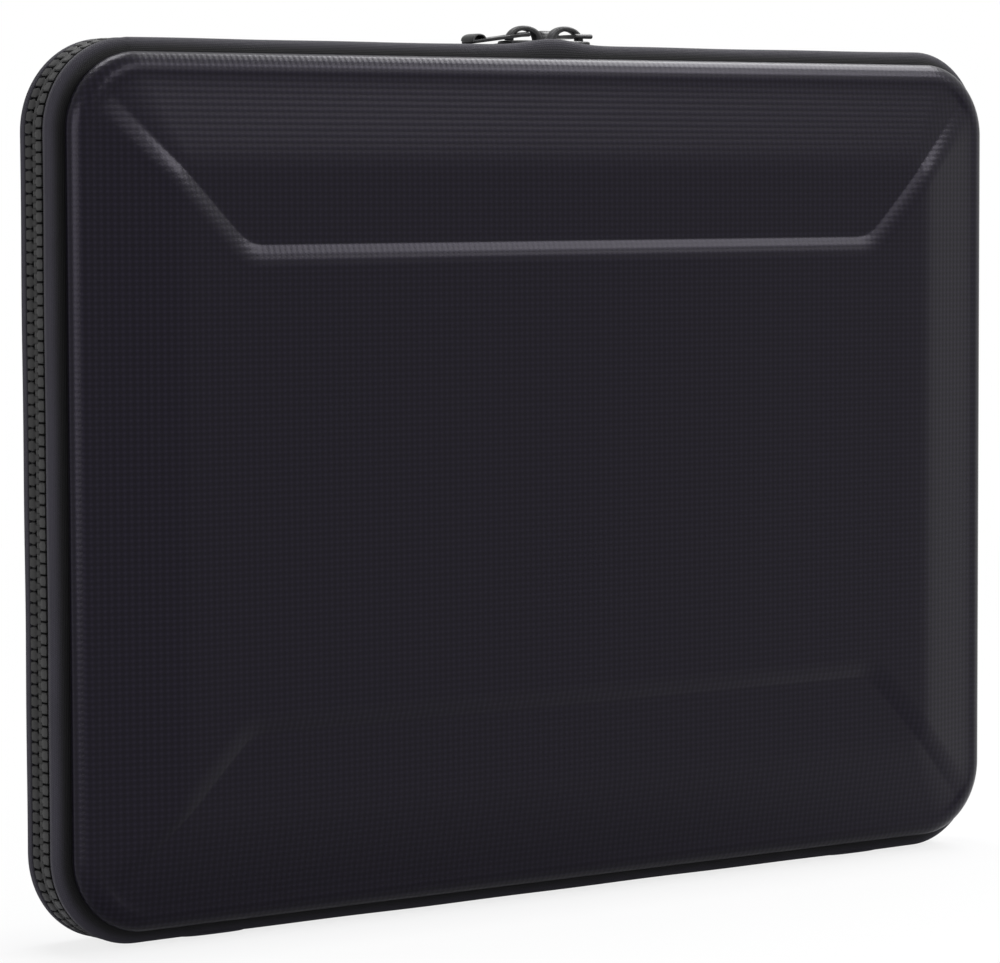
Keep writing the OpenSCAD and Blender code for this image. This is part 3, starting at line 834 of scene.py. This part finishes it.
def makeCovers(half):
    # rounded boxes with two seams each, whose underside rises away from the middle plane
    body, side = halves[half]
    c = cover
    box = superBox((c["length"] / 2, (c["far"] - c["near"]) / 2, c["high"] / 2), c["steps"],
                   c["power"])
    x, y = box[..., 0], (c["near"] + c["far"]) / 2 + box[..., 1]
    seam = sum(np.exp(-((x - at) / c["seamWidth"]) ** 2) for at in (-c["seamAt"], c["seamAt"]))
    rise = c["rise"] * smoothStep((y - c["flatTo"]) / (c["far"] - c["flatTo"]))
    z = c["high"] / 2 + box[..., 2] + (box[..., 2] < 0) * (rise + c["seamDepth"] * seam)
    quads = gridQuads(*x.shape, True, False)
    points, quads = gather([((stacked(sign * c["middle"] + x, side * y, z) * mm).reshape(-1, 3),
                             quads) for sign in (-1, 1)])
    uv = np.tile(stacked(x, y + z).reshape(-1, 2), (2, 1))
    piece = addMesh(half + "EndCovers", points, quads, "gussetCloth", uv)
    return dress(piece, "gusset", body, half + "_end_covers")


for half in halves:
    makeCovers(half)
print("end covers made")


stitches = {
    "pitch": 3.1, "length": 2.2, "thick": 0.42, "n": -3.0, "d": 0.75,
    "places": (-1.0, -0.9, -0.5, 0.5, 0.9, 1.0), "shares": (0.0, 0.6, 1.0, 1.0, 0.6, 0.0),
    "smoothAngle": 80.0}


def roundBar(radius, places, shares, corners):
    # a bar along its second coordinate: circles of radius times share, the end ones points
    a = circle(corners)
    r = radius * np.array(shares)[:, None]
    return stacked(r * np.cos(a), np.array(places)[:, None], r * np.sin(a))


def makeStitches(half):
    # small round-ended threads along a line round the outline
    body, side = halves[half]
    s = stitches
    total = chainRuns()[3] + zipChain["chainEnd"]
    bar = roundBar(s["thick"] / 2, np.array(s["places"]) * s["length"] / 2, s["shares"], 6)
    points, quads = copyAlong(bar.reshape(-1, 3) + (s["n"], 0, s["d"]),
                              gridQuads(6, 6, False, True),
                              np.arange(-total, total, s["pitch"]), side)
    piece = addMesh(half + "PadStitches", points, quads, "thread", smoothAngle=s["smoothAngle"])
    return dress(piece, "padding", body)


for half in halves:
    makeStitches(half)
print("stitches made")


# A slider's nose is at +x. line is one side of its plates: share of the length, share of the
# half width and the corner's radius.
slider = {
    "length": 14.4, "half": 5.6, "topLow": 4.4, "topHigh": 5.8, "underHigh": 0.6,
    "underLow": -0.4, "postAt": 5.2, "post": 1.6, "lipRoot": 4.0, "lip": 0.6,
    "backLip": 1.0, "frontLip": 0.15, "lipFrom": -0.36, "lipTo": 0.30, "lipSunk": 0.4,
    "leftX": -3.8, "rightX": 11.2, "topZ": 246.9, "topBevel": 0.45, "underBevel": 0.3,
    "fallAcross": 0.3, "fallAlong": 0.25,
    "line": ((-0.5, 0.72, 1.6), (0.12, 1.0, 3.0), (0.36, 0.94, 2.0), (0.5, 0.5, 2.0))}
bridge = {"half": 6.336, "high": 4.4, "foot": 2.2, "openHigh": 2.9, "width": 2.6, "pinX": -0.4,
          "sunk": 0.15, "flare": 0.15, "power": 0.5, "wear": 0.9, "wearOver": 0.3}
pull = {
    "length": 20.5, "width": 6.48, "thick": 1.0, "arm": 1.0, "armEnd": 6.6, "eye": 0.55,
    "armOverlap": 0.4, "pin": 1.4, "tilt": 7.2, "ringIn": 2.24, "legX": 4.836, "rise": 1.3,
    "pinZ": 7.4, "tabRadii": (1.1, 0.5, 0.5, 1.1), "armBevel": 0.22, "tabBevel": 0.25,
    "waist": 0.07, "waistAt": 0.55, "waistReach": 3.2, "curl": 5.0, "curlHigh": 1.8,
    "curlThick": 0.7, "curlSunk": 0.1, "curlIn": 0.05, "curlPower": 0.4, "pinWear": 0.4,
    "curlWear": 0.7}


def slabFrom(outline, low, high, bevel, steps=3):
    # an outline's rings from low to high, drawn in at both ends by a quarter circle and closed
    a = np.linspace(0, math.pi / 2, steps + 1)
    inset, up = bevel * (1 - np.sin(a)), bevel * (1 - np.cos(a))
    inset = np.concatenate([inset, inset[::-1]])[:, None, None]
    level = np.concatenate([low + up, high - up[::-1]])[:, None]
    centre = outline.mean(0)
    reach = np.linalg.norm(outline - centre, axis=1, keepdims=True)
    x, y = np.moveaxis(centre + (outline - centre) * (1 - inset / np.maximum(reach, 1e-6)), -1, 0)
    return closeEnds(stacked(x, y, level), [(*centre, low), (*centre, high)])


def boxRings(x0, x1, y0, y1, low, high, bevel):
    line = roundedLoop([[x0, y0], [x1, y0], [x1, y1], [x0, y1]], bevel * 2, 3)
    return slabFrom(line, low, high, bevel)


def edgeWear(rings):
    # 1 at the bevels' rings, 0 in the middles
    worn = np.zeros(rings.shape[:2])
    worn[[1, 2, 3, -4, -3, -2]] = 1.0
    return worn


def archedStrip(outer, inner, halfWidth, corners, powers):
    # a rounded section over an arch: midway between the two lines plus reach times cosine, and
    # half the width times sine; both come back too, for the wear
    middle, reach = (outer + inner) / 2, (outer - inner) / 2
    c = squared(np.cos(circle(corners)), powers[0])
    s = squared(np.sin(circle(corners)), powers[1])
    rows = stacked(middle[:, :1] + reach[:, :1] * c, halfWidth * s,
                   middle[:, 1:] + reach[:, 1:] * c)
    return closeEnds(rows), c, s


def joinParts(name, parts, place, finish):
    # parts: (rings in mm, wear); place maps (count, 3) in mm to metres
    points, quads = gather([(place(rings.reshape(-1, 3)),
                             gridQuads(*rings.shape[:2], False, True)) for rings, _ in parts])
    wear = np.concatenate([np.broadcast_to(worn, rings.shape[:2]).ravel()
                           for rings, worn in parts])
    return addMesh(name, points, quads, finish, wear=wear, smoothAngle=35.0)


def plateLine(half):
    # one side's corners, mirrored to the other
    line = np.array(slider["line"])
    near = line[:, :2] * (slider["length"], -half)
    return roundedLoop(np.vstack([near, near[::-1] * (1, -1)]),
                       np.concatenate([line[:, 2], line[::-1, 2]]), 6)


def makeSlider(side, centreX, mirror):
    # two plates joined by a post, a lip under each side of the top plate, and the bridge
    s, b = slider, bridge

    def place(points):
        return (points * (mirror, 1, 1) + (centreX, 0, s["topZ"])) * mm

    top = slabFrom(plateLine(s["half"]), s["topLow"], s["topHigh"], s["topBevel"])
    # crowned: it falls with the square of y and the fourth power of x
    fall = (s["fallAcross"] * (top[..., 1] / s["half"]) ** 2
            + s["fallAlong"] * (top[..., 0] / s["length"] * 2) ** 4)
    top[..., 2] -= fall * (top[..., 2] > (s["topLow"] + s["topHigh"]) / 2)
    under = slabFrom(plateLine(s["lipRoot"] + s["lip"]), s["underLow"], s["underHigh"],
                     s["underBevel"])
    post = slabFrom(arc(s["postAt"], 0, s["post"] / 2, s["post"] / 2, 0, 345, 23),
                    s["underHigh"] - 0.2, s["topLow"] + 0.3, 0.05)
    lipX = s["length"] * s["lipFrom"], s["length"] * s["lipTo"]
    lipY = s["lipRoot"], s["lipRoot"] + s["lip"]
    lipTop = s["topLow"] + s["lipSunk"]
    backLip = boxRings(*lipX, *lipY, s["topLow"] - s["backLip"], lipTop, 0.15)
    frontLip = boxRings(*lipX, -lipY[1], -lipY[0], s["topLow"] - s["frontLip"], lipTop, 0.1)
    parts = [(k, edgeWear(k)) for k in (top, under, post, backLip, frontLip)]
    piece = joinParts(side + "SliderBody", parts, place, "sliderCoat")
    dress(piece, "slider_metal", side + "_slider", side + "_slider_body")

    # the bridge is thick at the nose's foot and thin over the tail
    base = s["topHigh"] - b["sunk"]
    flare = 1 + b["flare"] * np.cos(np.linspace(0, math.pi, 33)[:, None]) ** 4
    arch, c, r = archedStrip(arc(0, base, b["half"], b["high"], 0, 180, 32),
                             arc(b["pinX"], base, b["half"] - b["foot"], b["openHigh"], 0, 180, 32),
                             b["width"] / 2 * flare, 20, (b["power"], b["power"]))
    wear = b["wear"] * (np.abs(c * r) > b["wearOver"])
    piece = joinParts(side + "SliderBridge", [(arch, wear)], place, "sliderCoat")
    dress(piece, "slider_metal", side + "_slider", side + "_slider_bridge")


def makePull(side, body, pose):
    # the flat pull is drawn along -x from its pin and then posed
    p = pull
    w, thick = p["width"] / 2, p["thick"] / 2
    halfPin = np.array([w - 0.25, w - 0.02, w - 0.01])
    pin = roundBar(p["pin"] / 2, [*-halfPin[::-1], *halfPin], (0.0, 0.7, 1.0, 1.0, 0.7, 0.0), 16)
    # each arm ends just past the pin's middle
    arms = [boxRings(-p["armEnd"] - p["armOverlap"], p["eye"], *y, -thick, thick, p["armBevel"])
            for y in ((-w, p["arm"] - w), (w - p["arm"], w))]
    tab = slabFrom(roundedLoop([[-p["length"], -w], [-p["armEnd"], -w], [-p["armEnd"], w],
                                [-p["length"], w]], p["tabRadii"]), -thick, thick, p["tabBevel"])
    # the tab is drawn in at its waist by a bell of x
    bell = np.exp(-((tab[..., 0] + p["length"] * p["waistAt"]) / p["waistReach"]) ** 2)
    tab[..., 1] *= 1 - p["waist"] * bell
    # the curled end: a strip bent over an arch
    x, z = p["curl"] / 2 - p["length"], thick - p["curlSunk"]
    radii = np.array([p["curl"] / 2, p["curlHigh"]])
    curl, _, r = archedStrip(arc(x, z, *radii, 0, 180, 16),
                             arc(x, z, *(radii - p["curlThick"]), 0, 180, 16),
                             w - p["curlIn"], 16, (0.5, p["curlPower"]))
    parts = [(pin, p["pinWear"])] + [(k, edgeWear(k)) for k in (*arms, tab)]
    parts.append((curl, p["curlWear"] * (np.abs(r) > 0.95)))
    dress(joinParts(side + "Pull", parts, pose, "pullCoat"), "pull_metal", body, side + "_pull")


def restingPose(points):
    # turned about the pin, and lying on the top plate's tail edge
    c, s = math.cos(math.radians(pull["tilt"])), math.sin(math.radians(pull["tilt"]))
    x = points[:, 0] * c - points[:, 2] * s
    z = points[:, 0] * s + points[:, 2] * c
    return stacked(slider["leftX"] + bridge["pinX"] + x, points[:, 1],
                   slider["topZ"] + pull["pinZ"] + z) * mm


def turnedPose(points):
    # level, with its open end round the bridge's tail leg, and pointing over the back
    x, y = points[:, 1], -points[:, 0]
    return stacked(slider["rightX"] + pull["legX"] + x, y - pull["ringIn"] - pull["pin"] / 2,
                   slider["topZ"] + slider["topHigh"] + pull["rise"] + points[:, 2]) * mm


makeSlider("left", slider["leftX"], 1.0)
makeSlider("right", slider["rightX"], -1.0)
makePull("left", "left_pull", restingPose)
makePull("right", "right_pull", turnedPose)
print("sliders and pulls made")


# the floor turns plain white over fadeOver for the camera and shadowOver for reflections
studio = {
    "floorSize": 12.0, "floorZ": -0.0002, "floorColor": (0.80, 0.80, 0.81, 1.0),
    "floorRoughness": 0.9, "floorSpecular": 0.1, "fillColor": (0.20, 0.20, 0.22, 1.0),
    "footprint": (0.165, 0.015, 1.0), "fadeOver": 1.2, "shadowOver": 0.12,
    "shadowEase": 0.1, "glow": ((0.0, 0.80), (0.025, 0.93), (0.2, 0.98), (1.0, 1.0))}
white = (1.0, 1.0, 1.0, 1.0)


def rayKinds(owner):
    rays = addNode(owner, "LightPath").outputs
    return rays["Is Camera Ray"], rays["Is Glossy Ray"], rays["Is Transmission Ray"]


def makeFloor():
    # a flat grid; it takes shadow round the case and fades to plain white further out
    t = np.linspace(-1, 1, 25) * studio["floorSize"] / 2
    x, y = np.meshgrid(t, t, indexing="ij")
    material = newMaterial("paleFloor", studio["floorRoughness"],
                           {"Base Color": studio["floorColor"],
                            "Specular IOR Level": studio["floorSpecular"]})
    tree = material.node_tree
    # distance from the case's footprint: the part of |x|, |y| past its half size
    past = objectPoint(material)
    for operation, other in (("ABSOLUTE", (0, 0, 0)), ("SUBTRACT", studio["footprint"]),
                             ("MAXIMUM", (0, 0, 0))):
        past = addNode(material, "VectorMath", {0: past, 1: other},
                       operation=operation).outputs["Vector"]
    reach = addNode(material, "VectorMath", {0: past}, operation="LENGTH").outputs["Value"]
    fade = ramp(material, calc(material, "DIVIDE", reach, studio["fadeOver"]),
                [(at, (share,) * 3) for at, share in studio["glow"]])
    glow = addNode(material, "Emission", {"Color": white, "Strength": 1.0})
    # reflections see white too, but not in the case's own shadow
    seen, glossy, through = rayKinds(material)
    unshaded = calc(material, "SMOOTH_MIN", calc(material, "DIVIDE", reach, studio["shadowOver"]),
                    1.0, studio["shadowEase"])
    share = maximum(material, calc(material, "MULTIPLY", fade, seen),
                    calc(material, "MULTIPLY", unshaded, maximum(material, glossy, through)))
    mix = addNode(material, "MixShader", {"Fac": share,
                                          1: tree.nodes["Principled BSDF"].outputs["BSDF"],
                                          2: glow.outputs["Emission"]})
    tree.links.new(mix.outputs["Shader"], tree.nodes["Material Output"].inputs["Surface"])
    finishes["paleFloor"] = material
    addGrid("floor", stacked(x, y, studio["floorZ"]), "paleFloor")


def makeWorld():
    # the camera and mirrors see white; the world's own light is much lower
    world = bpy.data.worlds.new("studioWorld")
    bpy.context.scene.world = world
    world.use_nodes = True
    mix = addNode(world, "Mix", {"Factor": maximum(world, *rayKinds(world)),
                                 "A": studio["fillColor"], "B": white},
                  data_type="RGBA")
    world.node_tree.links.new(mix.outputs["Result"],
                              world.node_tree.nodes["Background"].inputs["Color"])


# each softbox: place, aim, size and watts
softboxes = {
    "rimStrip": ((0.80, 0.10, 1.12), (0.0, 0.0, 0.15), (0.9, 0.4), 11.5),
    "creaseKey": ((0.80, -0.73, 0.92), (0.0, 0.0, 0.15), (0.55, 0.4), 6.0),
    "diagonalKey": ((0.30, -1.16, 0.92), (0.1, 0.0, 0.18), (0.35, 0.35), 2.6),
    "overhead": ((0.0, 0.42, 1.40), (0.0, 0.0, 0.2), (0.7, 0.5), 9.0),
    "leftFill": ((-1.30, -0.50, 0.42), (0.0, 0.0, 0.12), (0.9, 0.8), 9.5),
}


def makeLights():
    for name, (place, aim, size, watts) in softboxes.items():
        lamp = bpy.data.lights.new(name, "AREA")
        lamp.shape = "RECTANGLE"
        lamp.size, lamp.size_y = size
        lamp.energy = watts
        holder = addObject(name, lamp)
        holder.location = place
        forward = Vector(aim) - Vector(place)
        holder.rotation_euler = forward.to_track_quat("-Z", "Y").to_euler()


# the photograph's camera: a long lens from the case's front left
camera = {"lens": 156.12, "sensor": 36.0, "clip": (0.05, 50.0), "yaw": 36.75, "pitch": 3.96,
          "roll": -0.206, "distance": 1.2682, "target": (-0.0196, -0.0087, 0.1237)}


def makeCamera():
    # looks at the target from its distance, along the direction that yaw and pitch give
    c = camera
    yaw, pitch = math.radians(c["yaw"]), math.radians(c["pitch"])
    forward = Vector((math.sin(yaw) * math.cos(pitch), math.cos(yaw) * math.cos(pitch),
                      -math.sin(pitch)))
    lens = bpy.data.cameras.new("photoCamera")
    lens.lens, lens.sensor_width = c["lens"], c["sensor"]
    lens.clip_start, lens.clip_end = c["clip"]
    holder = addObject("photoCamera", lens)
    holder.rotation_mode = "QUATERNION"
    roll = Quaternion((0, 0, 1), math.radians(c["roll"]))
    holder.rotation_quaternion = forward.to_track_quat("-Z", "Y") @ roll
    holder.location = Vector(c["target"]) - forward * c["distance"]
    bpy.context.scene.camera = holder


makeFloor()
makeWorld()
makeLights()
makeCamera()
bpy.context.scene.view_settings.view_transform = "Standard"
print("floor, light and camera made")
